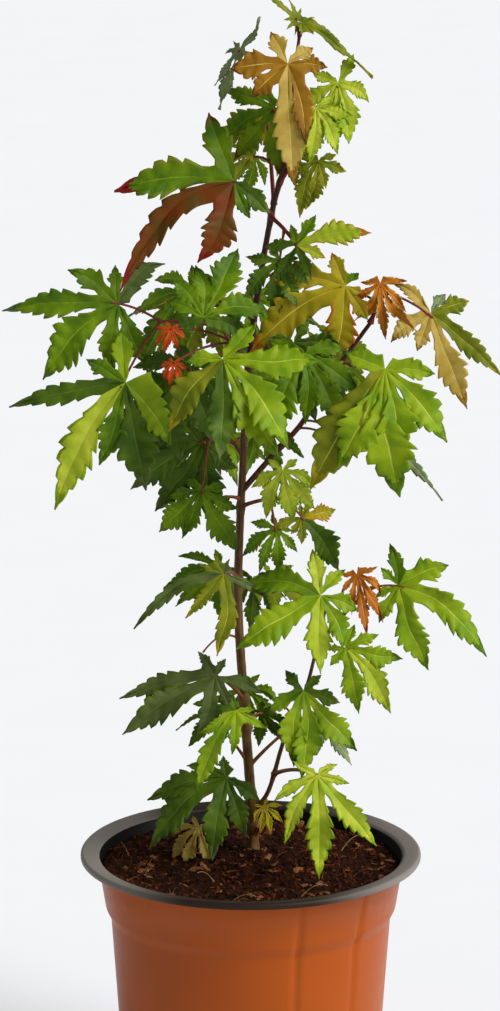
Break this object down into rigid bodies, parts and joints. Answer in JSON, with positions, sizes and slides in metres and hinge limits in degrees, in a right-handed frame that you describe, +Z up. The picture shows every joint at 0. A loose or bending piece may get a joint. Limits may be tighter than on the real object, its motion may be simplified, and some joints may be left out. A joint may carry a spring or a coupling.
{
  "type": "potted japanese maple seedling",
  "caption": "Young japanese maple with a slender trunk and deeply lobed green, bronze and red-tipped leaves, growing in a thin round plastic nursery pot",
  "frame": {"origin": "centre of the flat underside of the pot", "axes": "+Z up along the trunk, +X to the right of the plant seen from its front, -Y towards the viewer"},
  "size_m": [0.1837, 0.13, 0.4449],
  "materials": {
    "pot_plastic": "thin thermoformed plastic, terracotta brown outside, black inside and on the rim, slightly glossy",
    "compost": "moist dark brown compost with bark chips and reddish fibres",
    "trunk_bark": "young olive brown bark, dark reddish brown higher up",
    "bough_bark": "smooth reddish brown young bark",
    "green_leaf": "fresh mid green leaf blades with pale midribs",
    "light_leaf": "light yellow green leaf blades",
    "dark_leaf": "dark green leaf blades",
    "bronze_leaf": "bronze and tan young leaf blades",
    "red_tipped_leaf": "olive green leaf blade with dark red tips"
  },
  "bodies": {
    "root": {"pot": "pot_plastic", "soil": "compost", "trunk": "trunk_bark", "right_bough": "bough_bark", "low_bough": "bough_bark", "crown_top_spray": "bronze_leaf", "crown_right_spray": "light_leaf", "red_tip_leaf": "red_tipped_leaf", "upper_right_leaf": "dark_leaf", "high_left_spray": "green_leaf", "front_centre_spray": "green_leaf", "centre_right_leaf": "green_leaf", "bronze_spray": "bronze_leaf", "right_green_spray": "light_leaf", "mid_left_spray": "dark_leaf", "mid_right_spray": "light_leaf", "low_right_spray": "light_leaf", "outer_right_spray": "light_leaf", "low_left_leaf": "dark_leaf", "dark_left_leaf": "dark_leaf", "dark_front_leaf": "dark_leaf", "low_centre_spray": "light_leaf", "rim_leaf": "light_leaf", "foot_left_leaf": "dark_leaf", "foot_shoot": "light_leaf", "back_top_spray": "green_leaf", "back_upper_spray": "green_leaf", "back_right_spray": "green_leaf", "back_middle_spray": "green_leaf", "back_low_spray": "green_leaf", "back_foot_spray": "green_leaf"}
  },
  "joints": []
}
